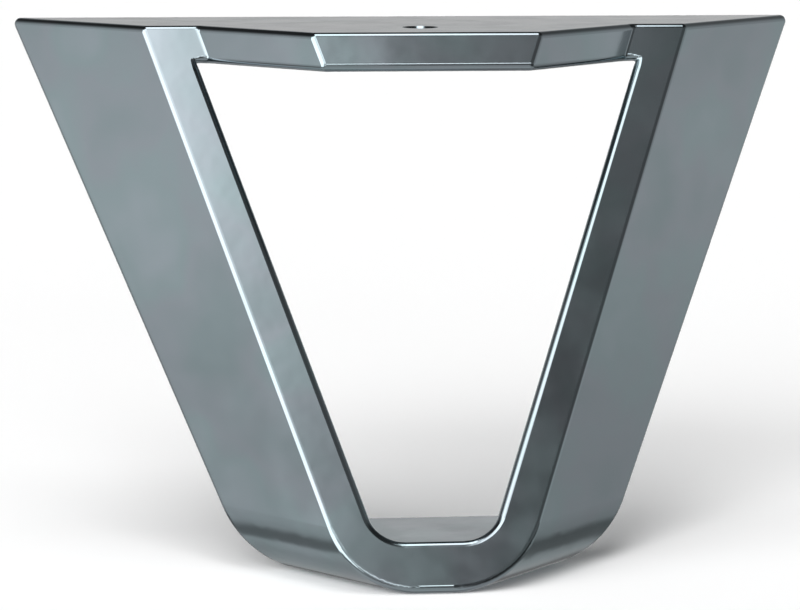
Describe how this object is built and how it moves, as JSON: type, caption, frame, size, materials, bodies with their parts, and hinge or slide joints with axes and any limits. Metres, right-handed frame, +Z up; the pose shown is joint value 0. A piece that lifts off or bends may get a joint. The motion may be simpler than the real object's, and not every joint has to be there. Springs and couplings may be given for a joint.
{
  "type": "triangular bed leg",
  "caption": "One-piece cast metal bed leg: a V-shaped open frame that leans forward, closed by a top bar with a flat mounting face and a countersunk screw hole.",
  "frame": {"origin": "middle of the flat mounting face, which meets the bed", "axes": "+Z up out of the mounting face to the bed, -Y to the front of the leg, +X across it"},
  "size_m": [0.2002, 0.0886, 0.13],
  "materials": {
    "smoked_chrome": "smoky grey chrome plating, satin, faintly cloudy"
  },
  "bodies": {
    "root": {"leg": "smoked_chrome"}
  },
  "joints": []
}
